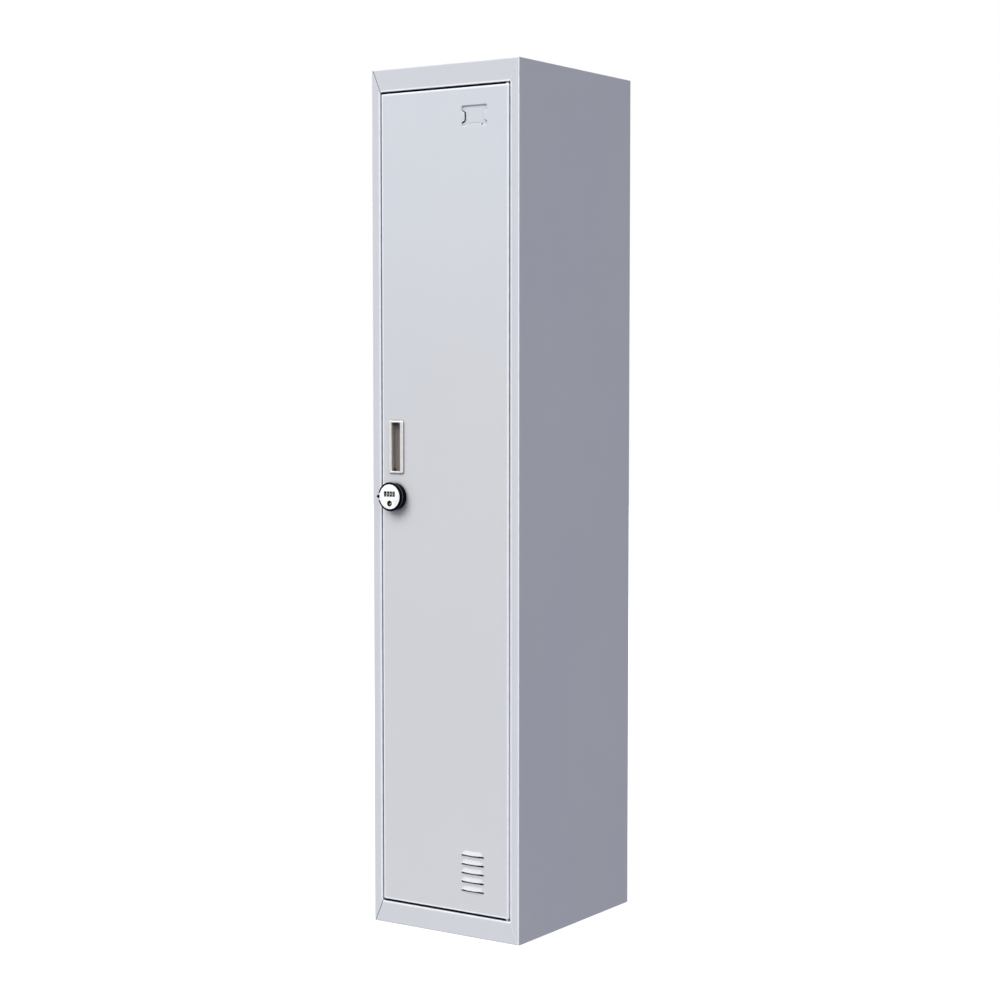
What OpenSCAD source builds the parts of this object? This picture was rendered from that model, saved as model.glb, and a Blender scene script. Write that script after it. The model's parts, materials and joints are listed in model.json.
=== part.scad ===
// Single-door steel locker cabinet with a flush pull handle and a combination cam lock.
// Millimetres. X runs to the viewer's right, Y runs into the cabinet, Z is up.
// The origin is the centre of the casing's footprint, on the floor.

/* [Casing] */
// Overall width of the casing
width = 380; // [320:5:450]
// Depth of the casing, from front frame to rear flanges
depth = 450; // [400:10:500]
// Overall height
height = 1850; // [1750:10:1950]
// Thickness of the steel sheet
sheet = 0.8; // [0.7:0.1:1]
// Inner radius of every bend
bend = 1.2; // [0.8:0.1:1.4]

/* [Front frame] */
// Width of each stile, from the side face to the door opening
stile_w = 22.5; // [20:0.5:26]
// Height of the top and bottom rails
rail_h = 48; // [40:1:60]
// How far the frame turns back round the door
rebate = 21; // [21:0.5:24]
// Width of the stop lip behind the door
lip = 12; // [10:0.5:12]
// Width of the open mitre seams in the left corners
open_seam = 1.8; // [0.6:0.1:2]
// Width of the tight mitre seams in the right corners
tight_seam = 0.3; // [0.2:0.1:1]

/* [Door] */
// Gap between door and stile
side_gap = 3; // [2.5:0.5:3.5]
// Gap above and below the door
end_gap = 4; // [3.5:0.5:5]
// Thickness of the folded door pan
door_t = 18; // [16:0.5:18]
// Width of the lips round the back of the door pan
door_lip = 12; // [8:1:14]
// Distance from the door's hinge edge to the pivot
pivot_in = 7; // [6:0.5:7]
// Distance from the door's front face to the pivot
pivot_back = 7.5; // [7:0.5:8]

/* [Door fittings] */
// Distance of the pull handle's centre from the cabinet's middle
handle_x = -126; // [-130:0.5:-120]
// Height of the pull handle's centre
handle_z = 1043; // [1010:1:1070]
// Distance of the lock's axis from the cabinet's middle
lock_x = -129; // [-131:0.5:-120]
// Height of the lock's axis
lock_z = 936.5; // [890:0.5:940]
// Distance of the label recess's centre from the cabinet's middle
label_x = 77.5; // [60:0.5:90]
// Height of the label recess's centre
label_z = 1738.5; // [1700:0.5:1740]
// Distance of the louvres' centre from the cabinet's middle
vent_x = 72; // [60:0.5:90]
// Height of the lowest louvre's lip
vent_z = 101; // [90:0.5:140]
// Number of louvres
vent_count = 5; // [3:1:7]
// Spacing of the louvres
vent_pitch = 19; // [16:0.5:24]

/* [Interior] */
// Height of the hat shelf's top
shelf_z = 1500; // [1450:10:1600]
// Height of the hanging rod's axis
rod_z = 1436; // [1400:1:1440]
// Outer diameter of the hanging rod
rod_d = 19; // [16:1:22]
// Height of the cabinet floor, inside
floor_z = 59; // [57:1:64]

/* [Hidden] */
$fn = 64;

slack = 0.1;                        // overrun of a cutter past the face that it cuts
mid_r = bend + sheet / 2;           // bend radius at the middle of the sheet
outer_r = bend + sheet;             // bend radius outside
half = sheet / 2;

front_y = -depth / 2;
back_y = depth / 2;
side_x = width / 2;
inner_x = side_x - sheet;           // inner face of a side panel
open_x = side_x - stile_w;          // edge of the door opening
open_top = height - rail_h;
stop_y = front_y + rebate;          // front face of the stop lips
lip_x = open_x - lip;               // free edge of a stile's stop lip
rail_lip = 10;                      // height of a rail's stop lip
rail_lip_x = lip_x - 0.5;           // half length of a rail's stop lip
back_panel_y = back_y - 2 * sheet;  // front face of the back panel

door_x = open_x - side_gap;
door_bottom = rail_h + end_gap;
door_top = open_top - end_gap;
door_back = front_y + door_t;
pivot = [door_x - pivot_in, front_y + pivot_back];

pin_r = 2.5;
running = 0.05;                     // radial clearance of every turning fit
bush_r = 4.5;
bush_flange = 0.8;
bush_flange_r = 5.4;
bush_length = 9;
washer_r = 3.4;

flange = 15;                        // width of the joining flanges
rivet_r = 1.6;
rivet_head = [3.5, 1];              // radius, height
bead = [7.5, 3];                    // radius and depth of the back panel's pressed beads
bead_ends = [160, height - 170];
bead_x = [-95, 0, 95];
fixing = [240, 60, 3.5];            // wall fixing holes: spacing, distance below the top, radius

handle = [39, 114.5, 4];              // face width, face height, thickness in front of the door
handle_trim = 3;                    // thickness of the trim on the cup's flange
handle_body = [33, 109, 16];
handle_mouth = [22.5, 104.5];
handle_wall = 2;

base_r = 28.6;
base_h = 11;                        // height of the lock's fixed base
skirt_r = 28.8;                     // knob behind its ring
ring_r = 31.4;
ring_z = [11.5, 18, 22.5];          // back of the skirt, back of the ring, front of the ring
ring_edge = 2;                      // rounding of the ring
nib_r = 2.8;
hub_r = 24.5;
face = [26.6, 0.8];                 // face plate's radius and thickness
face_front = 22.7;
barrel_r = 9.5;
barrel_l = rebate;
shaft_r = 5;
cam_z = [-25, -23];
cam_length = 36;
wheel_r = 8.6;
wheel_w = 4.6;
wheel_pitch = 7.5;
wheel_y = 6;                        // wheel axis above the lock's axis
wheel_z = face_front + 0.3 - wheel_r;
window = [wheel_w + 0.4, 9];        // width and height of one window
bezel = [6, 11.4, 0.5];             // width, height and thickness of the frame round one window
axle_r = 1.5;
axle_length = 34;
plug_r = 6.3;
plug_y = -14.5;

coat = [0.80, 0.82, 0.86];
coat_inside = [0.76, 0.78, 0.82];
zinc = [0.74, 0.74, 0.73];
nickel = [0.80, 0.78, 0.75];
black = [0.06, 0.06, 0.07];
nylon = [0.90, 0.90, 0.88];
brass = [0.66, 0.55, 0.30];
cup_grey = [0.55, 0.52, 0.50];

// ---- Helpers -------------------------------------------------------------

function unit(v) = v / norm(v);
function left_of(v) = [-v[1], v[0]];
function turn_at(u, v) = atan2(u[0] * v[1] - u[1] * v[0], u * v);
function reach_at(u, v, r) = r * tan(abs(turn_at(u, v)) / 2);
function heading(path, i) = unit(path[i + 1] - path[i]);
function trim(path, i, r) =
    i <= 0 || i >= len(path) - 1 ? 0 : reach_at(heading(path, i - 1), heading(path, i), r);

// The bend of a folded sheet, where its middle line turns at p from direction u to direction v
module bend_arc(p, u, v, r, t) {
    reach = reach_at(u, v, r);
    centre = p - u * reach + left_of(u) * r * sign(turn_at(u, v));
    grow = (r + t) / r;
    intersection() {
        translate(centre) difference() {
            circle(r + t / 2);
            circle(r - t / 2);
        }
        polygon([
            centre,
            centre + (p - u * reach - centre) * grow,
            centre + (p - centre) * grow,
            centre + (p + v * reach - centre) * grow
        ]);
    }
}

// The section of a folded sheet whose middle line runs through the points of path
module folded(path, r = mid_r, t = sheet) {
    for (i = [0 : len(path) - 2]) {
        u = heading(path, i);
        start = path[i] + u * trim(path, i, r);
        end = path[i + 1] - u * trim(path, i + 1, r);
        translate(start) rotate(atan2(u[1], u[0])) translate([0, -t / 2]) square([norm(end - start), t]);
    }
    for (i = [1 : 1 : len(path) - 2]) {
        bend_arc(path[i], heading(path, i - 1), heading(path, i), r, t);
    }
}

// A section drawn in Y and Z, run along X
module along_x(length) {
    rotate([90, 0, 90]) linear_extrude(length, center = true) children();
}

// A section drawn in X and Z, run along Y
module along_y(length) {
    rotate([90, 0, 0]) linear_extrude(length, center = true) children();
}

module rounded_rect(size, r) {
    square([size[0] - 2 * r, size[1]], center = true);
    square([size[0], size[1] - 2 * r], center = true);
    for (x = [-1, 1], y = [-1, 1]) {
        translate([x * (size[0] / 2 - r), y * (size[1] / 2 - r)]) circle(r);
    }
}

module box_between(low, high) {
    translate(low) cube(high - low);
}

// Turns a piece drawn at the top of the cabinet upside down, to its place at the bottom
module at_bottom() {
    translate([0, 0, height]) mirror([0, 0, 1]) children();
}

// ---- Casing --------------------------------------------------------------

// Everything on the rail's side of a stile's mitre, at the top left corner
module stile_mitre() {
    translate([0, front_y + rebate / 2, 0]) along_y(rebate + 8)
        polygon([
            [-side_x + outer_r, height + 1], [-side_x + outer_r, height], [-open_x, open_top],
            [-lip_x + 5, open_top], [-lip_x + 5, height + 1]
        ]);
}

// Everything on the stile's side of a rail's mitre, at the top left corner
module rail_mitre(seam) {
    translate([seam, front_y + rebate / 2 - 0.5, 0]) along_y(rebate + 1)
        polygon([
            [-side_x + outer_r, height + 1], [-side_x + outer_r, height], [-open_x, open_top],
            [-open_x, open_top - 20], [-side_x - 5, open_top - 20], [-side_x - 5, height + 1]
        ]);
}

module side_panel() {
    color(coat) difference() {
        linear_extrude(height) folded([
            [-lip_x, stop_y + half],
            [-open_x - half, stop_y + half],
            [-open_x - half, front_y + half],
            [-side_x + half, front_y + half],
            [-side_x + half, back_y - half],
            [-side_x + flange + 2, back_y - half]
        ]);
        stile_mitre();
        at_bottom() stile_mitre();
        back_rivet_holes();
    }
}

module left_side_panel() {
    side_panel();
}

module right_side_panel() {
    mirror([1, 0, 0]) side_panel();
}

// A folded flange down one side of the top or base panel, drawn for the left side
module side_flange(path, from_y, to_y) {
    translate([0, (from_y + to_y) / 2, 0]) along_y(to_y - from_y) folded(path);
}

module top_panel() {
    flat_x = inner_x - outer_r;
    front_run = [
        [stop_y + half, open_top - rail_lip],
        [stop_y + half, open_top + half],
        [front_y + half, open_top + half],
        [front_y + half, height - half],
        [front_y + 24, height - half]
    ];
    rear_run = [
        [front_y + 10, height - half],
        [back_panel_y - half, height - half],
        [back_panel_y - half, height - 22]
    ];
    color(coat) difference() {
        union() {
            along_x(2 * (side_x - outer_r)) folded(front_run);
            along_x(2 * flat_x) folded(rear_run);
            for (m = [0, 1]) {
                mirror([m, 0, 0]) {
                    side_flange([
                        [-flat_x + 8, height - half],
                        [-inner_x + half, height - half],
                        [-inner_x + half, height - flange]
                    ], front_y + 24, back_panel_y - 6);
                    box_between(
                        [-inner_x, front_y + outer_r, height - sheet],
                        [-flat_x + 1, front_y + 25, height]
                    );
                }
            }
        }
        rail_mitre(open_seam);
        mirror([1, 0, 0]) rail_mitre(tight_seam);
        frame_lip_ends(open_top - rail_lip - slack, open_top + half * 3);
        translate([pivot[0], pivot[1], open_top - 1]) cylinder(r = pin_r + running, h = sheet + 2);
    }
}

// Cuts a rail's stop lip to its length, clear of the stiles' lips
module frame_lip_ends(low, high) {
    for (s = [-1, 1]) {
        box_between(
            [s > 0 ? rail_lip_x : -side_x, stop_y - slack, low],
            [s > 0 ? side_x : -rail_lip_x, stop_y + 2 * sheet, high]
        );
    }
}

module base_panel() {
    flat_x = inner_x - outer_r;
    front_run = [
        [front_y + flange + 1, half],
        [front_y + half, half],
        [front_y + half, rail_h - half],
        [stop_y + half, rail_h - half],
        [stop_y + half, floor_z - half],
        [stop_y + 12, floor_z - half]
    ];
    rear_run = [
        [stop_y + 6, floor_z - half],
        [back_panel_y - half, floor_z - half],
        [back_panel_y - half, half],
        [back_panel_y - flange - 1, half]
    ];
    color(coat) difference() {
        union() {
            along_x(2 * (side_x - outer_r)) folded(front_run);
            along_x(2 * flat_x) folded(rear_run);
            for (m = [0, 1]) {
                mirror([m, 0, 0]) {
                    side_flange([
                        [-flat_x + 8, floor_z - half],
                        [-inner_x + half, floor_z - half],
                        [-inner_x + half, half],
                        [-inner_x + flange + 1, half]
                    ], stop_y + 3, back_panel_y - 4);
                    // the bottom flange runs on to the corners, so that the base rests on a closed ring
                    box_between(
                        [-flat_x, front_y + 4, 0],
                        [-inner_x + flange + 1, back_panel_y - 2, sheet]
                    );
                    box_between([-inner_x, front_y + outer_r, 0], [-flat_x + 1, stop_y + 4, sheet]);
                }
            }
        }
        at_bottom() {
            rail_mitre(open_seam);
            mirror([1, 0, 0]) rail_mitre(tight_seam);
        }
        frame_lip_ends(rail_h - half * 3, floor_z - sheet - slack);
        for (s = [-1, 1]) {
            // notches in the floor's front corners, behind the stop lips
            box_between(
                [s > 0 ? rail_lip_x : -side_x, stop_y - slack, floor_z - sheet - 1],
                [s > 0 ? side_x : -rail_lip_x, stop_y + 2 * sheet, floor_z + 1]
            );
        }
        translate([pivot[0], pivot[1], rail_h - sheet - 1]) cylinder(r = pin_r + running, h = sheet + 2);
    }
}

// Length and places of the pressed beads that stiffen the back panel
module bead_capsule(r) {
    length = bead_ends[1] - bead_ends[0];
    cylinder(r = r, h = length);
    sphere(r);
    translate([0, 0, length]) sphere(r);
}

module back_panel() {
    edge = side_x - outer_r - slack;
    sunk = bead[0] - bead[1];
    color(coat_inside) difference() {
        union() {
            box_between(
                [-edge, back_panel_y, 1],
                [edge, back_panel_y + sheet, height - sheet - 0.6]
            );
            for (x = bead_x) {
                intersection() {
                    translate([x, back_panel_y + sunk, bead_ends[0]]) bead_capsule(bead[0]);
                    box_between([x - 20, back_panel_y - 10, 0], [x + 20, back_panel_y + half, height]);
                }
            }
        }
        for (x = bead_x) {
            translate([x, back_panel_y + sunk, bead_ends[0]]) bead_capsule(bead[0] - sheet);
        }
        back_rivet_holes();
        for (s = [-1, 1]) {
            translate([s * fixing[0] / 2, back_panel_y - 1, height - fixing[1]])
                rotate([-90, 0, 0]) cylinder(r = fixing[2], h = sheet + 2);
        }
    }
}

rivet_rows = [for (i = [0 : 6]) 90 + i * (height - 180) / 6];

module at_back_rivets() {
    for (s = [-1, 1], z = rivet_rows) {
        translate([s * (side_x - flange / 2 - 2), back_y, z]) rotate([-90, 0, 0]) children();
    }
}

module back_rivet_holes() {
    at_back_rivets() translate([0, 0, -5]) cylinder(r = rivet_r + running, h = 8);
}

// Domed rivets through the rear flanges and the back panel, with their set ends inside
module back_rivets() {
    color(zinc) at_back_rivets() {
        dome_r = (pow(rivet_head[0], 2) + pow(rivet_head[1], 2)) / (2 * rivet_head[1]);
        intersection() {
            translate([0, 0, rivet_head[1] - dome_r]) sphere(dome_r);
            cylinder(r = rivet_head[0], h = rivet_head[1]);
        }
        translate([0, 0, -3 * sheet]) cylinder(r = rivet_r, h = 3 * sheet);
        translate([0, 0, -2 * sheet - 1.2]) cylinder(r = 2.6, h = 1.2);
    }
}

// Backing plates welded behind the four mitres of the front frame
module corner_plates() {
    outer = side_x - outer_r - 1;
    stile_edge = open_x + sheet + bend + 1;
    rail_edge = open_top + sheet + bend + 1;
    color(coat_inside) for (m = [0, 1]) {
        mirror([m, 0, 0]) {
            corner_plate(outer, stile_edge, rail_edge);
            at_bottom() corner_plate(outer, stile_edge, rail_edge);
        }
    }
}

module corner_plate(outer, stile_edge, rail_edge) {
    translate([0, front_y + 1.5 * sheet, 0]) along_y(sheet) polygon([
        [-outer, height - outer_r - 1], [-outer, open_top - 36], [-stile_edge, open_top - 36],
        [-stile_edge, rail_edge], [-open_x + 26, rail_edge], [-open_x + 26, height - outer_r - 1]
    ]);
}

// The section of a hat-shaped stiffener: half widths of its crown and brim, and its depth
module hat_section(crown, brim, base, top) {
    folded([[-brim, base], [-crown, base], [-crown, top], [crown, top], [crown, base], [brim, base]]);
}

// Hat-section stiffener under the cabinet floor
module floor_stiffener() {
    under = floor_z - sheet - half;
    color(coat_inside) along_x(2 * (inner_x - 6)) hat_section(20, 36, under, under - 16);
}

// ---- Interior ------------------------------------------------------------

shelf_x = inner_x - 2.2;            // outer face of the shelf's side folds
shelf_y = [stop_y + 14, back_panel_y - bead[1] - 2.4];
shelf_drop = 22;
bracket_y = [shelf_y[0] + 40, shelf_y[1] - 40];
bracket_t = 1.2;

// Shelf folded down and inwards on all four sides
module hat_shelf() {
    size = [2 * shelf_x, shelf_y[1] - shelf_y[0], shelf_drop];
    middle = [0, (shelf_y[0] + shelf_y[1]) / 2, shelf_z - shelf_drop / 2];
    color(coat_inside) difference() {
        translate(middle) pan_block(size, outer_r);
        translate(middle) pan_block(size - 2 * [sheet, sheet, sheet], bend);
        translate(middle - [0, 0, shelf_drop / 2]) cube([size[0] - 24, size[1] - 24, 4], center = true);
        at_shelf_screws() translate([0, 0, -4]) cylinder(r = 2.1, h = 8);
    }
}

// A box with every long edge rounded where two rounded sections cross
module pan_block(size, r) {
    intersection() {
        along_x(size[0]) rounded_rect([size[1], size[2]], r);
        along_y(size[1]) rounded_rect([size[0], size[2]], r);
    }
}

module at_shelf_screws() {
    for (s = [-1, 1], y = bracket_y) {
        translate([s * (shelf_x - 7), y, shelf_z - shelf_drop]) children();
    }
}

// Angle brackets welded to the side panels, which carry the shelf's folded edges
module shelf_brackets() {
    color(zinc) for (s = [0, 1], y = bracket_y) {
        mirror([s, 0, 0]) difference() {
            translate([0, y, 0]) along_y(24) folded([
                [-inner_x + bracket_t / 2, shelf_z - 4],
                [-inner_x + bracket_t / 2, shelf_z - shelf_drop - bracket_t / 2],
                [-inner_x + 22, shelf_z - shelf_drop - bracket_t / 2]
            ], 1.8, bracket_t);
            translate([-shelf_x + 7, y, shelf_z - shelf_drop - 3]) cylinder(r = 2.1, h = 6);
        }
    }
}

// Pan-head screws that hold the shelf down on its brackets
module shelf_screws() {
    color(zinc) at_shelf_screws() {
        translate([0, 0, -bracket_t - 2]) cylinder(r1 = 2.6, r2 = 3.8, h = 2);
        translate([0, 0, -bracket_t]) cylinder(r = 2, h = 6);
    }
}

module hanging_rod() {
    color(zinc) translate([0, 0, rod_z]) along_x(2 * (inner_x - 2.4)) difference() {
        circle(rod_d / 2);
        circle(rod_d / 2 - 1);
    }
}

// Cup welded to the left side panel, which holds one end of the rod
module rod_socket() {
    color(nickel) translate([-inner_x, 0, rod_z]) rotate([0, 90, 0]) difference() {
        union() {
            cylinder(r = rod_d / 2 + 7, h = 1.6);
            cylinder(r = rod_d / 2 + 2, h = 12);
        }
        translate([0, 0, 2]) cylinder(r = rod_d / 2 + running, h = 11);
    }
}

module left_rod_socket() {
    rod_socket();
}

module right_rod_socket() {
    mirror([1, 0, 0]) rod_socket();
}

// ---- Hinge ---------------------------------------------------------------

module hinge_pin(from_z, to_z, head_z) {
    color(zinc) translate([pivot[0], pivot[1], 0]) {
        translate([0, 0, from_z]) cylinder(r = pin_r, h = to_z - from_z);
        translate([0, 0, head_z]) cylinder(r = 5, h = 1.5);
    }
}

module upper_hinge_pin() {
    hinge_pin(door_top - 12, open_top + sheet + 1, open_top + sheet);
}

module lower_hinge_pin() {
    hinge_pin(rail_h - sheet - 1, door_bottom + 12, rail_h - sheet - 1.5);
}

// Nylon washers on the pins, in the gaps above and below the door
module hinge_washers() {
    color(nylon) for (z = [[rail_h, door_bottom - 0.9], [door_top + 0.9, open_top]]) {
        translate([pivot[0], pivot[1], z[0]]) difference() {
            cylinder(r = washer_r, h = z[1] - z[0]);
            translate([0, 0, -1]) cylinder(r = pin_r + running, h = end_gap + 2);
        }
    }
}

// Flanged bush that turns on a pin, standing at the door's end face and drawn for the top
module hinge_bush() {
    color(nylon) difference() {
        union() {
            cylinder(r = bush_flange_r, h = bush_flange);
            translate([0, 0, -bush_length]) cylinder(r = bush_r, h = bush_length + slack);
        }
        translate([0, 0, -bush_length - 1]) cylinder(r = pin_r + running, h = bush_length + 4);
    }
}

module upper_hinge_bush() {
    translate([pivot[0], pivot[1], door_top]) hinge_bush();
}

module lower_hinge_bush() {
    translate([pivot[0], pivot[1], door_bottom]) mirror([0, 0, 1]) hinge_bush();
}

// Rubber buffers on the lock side's stop lip
module door_buffers() {
    color(black) for (z = [220, 620, 1330, 1640]) {
        translate([-lip_x - 5.2, stop_y, z]) rotate([90, 0, 0]) {
            cylinder(r = 4.2, h = 1.4);
            cylinder(r = 3.2, h = rebate - door_t - 0.4);
        }
    }
}

// ---- Door ----------------------------------------------------------------

label = [66, 44, 3.4];              // width, height and depth of the label recess
label_slope = 2.4;                  // how far the recess's walls lean in
vent = [60, 8, 4.5];                // width, height and reach of one louvre
vent_slot = 3.6;                    // height of the slot left open under a louvre's lip

// A section drawn in Y (from the door's front face, outwards negative) and Z (from the louvre's lip)
module vent_hood(inset) {
    reach = vent[2] - inset;
    rise = vent[1] - inset;
    intersection() {
        along_x(vent[0]) polygon([
            [1, rise], [0, rise], [-reach * 0.9, 3], [-reach, 0], [-reach, -inset], [1, -inset]
        ]);
        along_y(20) polygon([
            [-vent[0] / 2 + inset, -vent_slot - 1], [vent[0] / 2 - inset, -vent_slot - 1],
            [vent[0] / 2 - inset, 2], [vent[0] / 2 - 6 - inset, rise],
            [-vent[0] / 2 + 6 + inset, rise], [-vent[0] / 2 + inset, 2]
        ]);
    }
}

module at_vents() {
    for (i = [0 : vent_count - 1]) {
        translate([vent_x, front_y, vent_z + i * vent_pitch]) children();
    }
}

// The label recess, grown by a distance, from a start before the door's face to a depth behind it
module label_dish(grow, start, deep) {
    wide = label[0] / 2 + grow;
    tall = label[1] / 2 + grow;
    lean = label_slope / label[2];
    translate([label_x, front_y, label_z]) intersection() {
        along_x(label[0] + 20) polygon([
            [start, -tall + lean * start], [start, tall - lean * start],
            [deep, tall - lean * deep], [deep, -tall + lean * deep]
        ]);
        linear_extrude(label[1] + 20, center = true) polygon([
            [-wide + lean * start, start], [wide - lean * start, start],
            [wide - lean * deep, deep], [-wide + lean * deep, deep]
        ]);
    }
}

// Tabs in the plane of the door face that hold a card in the recess, grown by a distance
module label_tabs(grow, from_y, to_y) {
    w = label[0] / 2;
    h = label[1] / 2;
    translate([label_x, front_y + (from_y + to_y) / 2, label_z]) along_y(to_y - from_y) {
        for (s = [-1, 1]) {
            polygon([
                [s * (w + 1), 11 + grow], [s * (w - 1 - grow), 11 + grow],
                [s * (w - 8.5 - grow), 7 + grow], [s * (w - 8.5 - grow), -9 - grow],
                [s * (w - 1 - grow), -13.5 - grow], [s * (w + 1), -13.5 - grow]
            ]);
        }
        polygon([
            [-18.5 - grow, -h - 1], [-18.5 - grow, -h + 4 + grow / 5], [-16.5, -h + 5 + grow / 5],
            [16.5, -h + 5 + grow / 5], [18.5 + grow, -h + 4 + grow / 5], [18.5 + grow, -h - 1]
        ]);
    }
}

module door_panel() {
    size = [2 * door_x, door_t, door_top - door_bottom];
    middle = [0, front_y + door_t / 2, (door_top + door_bottom) / 2];
    color(coat) difference() {
        union() {
            difference() {
                translate(middle) door_block(size, outer_r);
                translate(middle) door_block(size - 2 * [sheet, sheet, sheet], bend);
                translate([0, door_back, middle[2]])
                    cube([size[0] - 2 * door_lip, 4, size[2] - 2 * door_lip], center = true);
                label_dish(0, -1, 2);
            }
            difference() {
                label_dish(sheet, 0, label[2] + sheet);
                label_dish(0, -1, label[2]);
                label_tabs(1.2, 1.2, label[2] + sheet + 1);
            }
            label_tabs(0, 0, sheet);
            at_vents() vent_hood(0);
        }
        at_vents() {
            vent_hood(sheet);
            translate([0, 0, -vent_slot / 2 + slack])
                cube([vent[0] - 2 * sheet, 6, vent_slot + 2 * slack], center = true);
        }
        translate([handle_x, front_y, handle_z]) along_y(6)
            rounded_rect([handle_body[0] + 1, handle_body[1] + 1], 3);
        at_lock() cylinder(r = barrel_r + 0.2, h = 6, center = true);
        translate([pivot[0], pivot[1], door_bottom - 1])
            cylinder(r = bush_r + running, h = door_top - door_bottom + 2);
    }
}

// The door's outline: rounded in plan and in side view
module door_block(size, r) {
    intersection() {
        linear_extrude(size[2], center = true) rounded_rect([size[0], size[1]], r);
        along_x(size[0]) rounded_rect([size[1], size[2]], r);
    }
}

// Hat-section stiffener welded behind the door face
module door_stiffener() {
    brim_y = front_y + sheet + half;
    color(coat_inside) translate([-16, 0, door_bottom + 24])
        linear_extrude(door_top - door_bottom - 48) hat_section(22, 38, brim_y, brim_y + 13.5);
}

// Cup that fills the cut-out, with a flange that stands in front of the door
module pull_cup() {
    deep = handle_body[2];
    flange_t = handle[2] - handle_trim;
    color(cup_grey) translate([handle_x, front_y, handle_z]) difference() {
        union() {
            translate([0, -flange_t / 2, 0]) along_y(flange_t)
                rounded_rect([handle[0] - 0.8, handle[1] - 0.8], 3.6);
            translate([0, (deep - flange_t) / 2, 0]) along_y(deep + flange_t)
                rounded_rect([handle_body[0], handle_body[1]], 3);
        }
        translate([0, -1, 0]) along_y(10) rounded_rect(handle_mouth, 2.5);
        translate([0, deep / 2 - handle_wall / 2, 0]) along_y(deep - handle_wall)
            rounded_rect([handle_body[0] - 2 * handle_wall, handle_mouth[1]], 2.5);
    }
}

// Bright trim on the cup's flange
module pull_trim() {
    color(nickel) translate([handle_x, front_y - handle[2] + handle_trim / 2, handle_z])
        along_y(handle_trim) difference() {
            rounded_rect([handle[0], handle[1]], 4);
            rounded_rect(handle_mouth, 2.5);
        }
}

// Clips above and below the cup, which hold it against the back of the door face
module handle_clips() {
    foot = handle_body[1] / 2 + 0.4;
    clip_t = 0.6;
    grip = sheet + 0.1 + clip_t / 2;
    color(zinc) for (m = [0, 1]) {
        translate([handle_x, front_y, handle_z]) mirror([0, 0, m]) along_x(14)
            folded([[handle_body[2] - 3, foot], [grip, foot], [grip, foot + 7]], 0.7, clip_t);
    }
}

// ---- Lock ----------------------------------------------------------------

// The lock's own frame: its axis along Z, outwards, from the door's front face, with Y up
module at_lock() {
    translate([lock_x, front_y, lock_z]) rotate([90, 0, 0]) children();
}

// Fixed base in front of the door, and the threaded barrel through it
module lock_housing() {
    r = base_r;
    color(black) at_lock() difference() {
        rotate_extrude() difference() {
            union() {
                square([r - 1.5, base_h]);
                square([r, base_h - 1.5]);
                translate([r - 1.5, base_h - 1.5]) circle(1.5);
                translate([0, -barrel_l]) square([barrel_r, barrel_l]);
            }
            translate([-2, -barrel_l - 2]) square([shaft_r + running + 2, barrel_l + base_h + 4]);
            translate([0, 1.6]) square([hub_r + 0.8, base_h]);
        }
    }
}

module lock_nut() {
    color(zinc) at_lock() translate([0, 0, -sheet - 4]) difference() {
        cylinder(r = 16, h = 4, $fn = 6);
        translate([0, 0, -1]) cylinder(r = barrel_r + running, h = 6);
    }
}

// Turning ring with its skirt, its hub inside the base, and its shaft to the cam
module lock_knob() {
    color(black) at_lock() difference() {
        union() {
            rotate_extrude() union() {
                translate([0, ring_z[0]]) square([skirt_r, ring_z[1] - ring_z[0] + ring_edge]);
                translate([0, ring_z[1]]) square([ring_r - ring_edge, ring_z[2] - ring_z[1]]);
                translate([0, ring_z[1] + ring_edge])
                    square([ring_r, ring_z[2] - ring_z[1] - 2 * ring_edge]);
                for (z = [ring_z[1] + ring_edge, ring_z[2] - ring_edge]) {
                    translate([ring_r - ring_edge, z]) circle(ring_edge);
                }
                translate([0, 2]) square([hub_r, ring_z[0] - 1.5]);
                translate([0, cam_z[1]]) square([shaft_r, 4 - cam_z[1]]);
            }
            translate([0, 0, (cam_z[0] + cam_z[1]) / 2 + 1]) cube([7, 7, 4], center = true);
            translate([-ring_r - 1.2, 0, ring_z[1]]) cylinder(r = nib_r, h = ring_z[2] - ring_z[1] - 0.6);
        }
        translate([0, 0, face_front - face[1]]) cylinder(r = face[0] + 0.1, h = 4);
        wheel_room();
        translate([0, plug_y, 7.8]) cylinder(r = plug_r + running, h = 20);
        translate([0, 0, cam_z[0] - 1]) cylinder(r = 2, h = 13);
        translate([0, wheel_y, wheel_z]) rotate([0, 90, 0])
            cylinder(r = axle_r, h = axle_length + 1, center = true);
    }
}

module wheel_room() {
    size = [4 * wheel_pitch, 2 * wheel_r + 0.8];
    translate([-size[0] / 2, wheel_y - size[1] / 2, wheel_z - wheel_r - 0.4]) cube([size[0], size[1], 30]);
}

module wheel_windows() {
    for (i = [0 : 3]) {
        translate([(i - 1.5) * wheel_pitch, wheel_y, face_front])
            cube([window[0], window[1], 10], center = true);
    }
}

// Face plate with one window for each wheel, and a hole for the key plug
module lock_face() {
    color([0.88, 0.88, 0.87]) at_lock() difference() {
        translate([0, 0, face_front - face[1]]) cylinder(r = face[0], h = face[1]);
        wheel_windows();
        translate([0, plug_y, face_front - 2]) cylinder(r = plug_r + running, h = 5);
    }
}

// Frames laid on the face plate round the windows
module window_frames() {
    color(black) at_lock() difference() {
        for (i = [0 : 3]) {
            translate([(i - 1.5) * wheel_pitch, wheel_y, face_front])
                linear_extrude(bezel[2]) rounded_rect([bezel[0], bezel[1]], 0.6);
        }
        wheel_windows();
    }
}

module lock_cam() {
    color(zinc) at_lock() translate([0, 0, cam_z[0]]) linear_extrude(cam_z[1] - cam_z[0]) difference() {
        union() {
            circle(9);
            translate([-7, -cam_length + 7]) square([14, cam_length - 7]);
            translate([0, -cam_length + 7]) circle(7);
        }
        square(7, center = true);
    }
}

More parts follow.
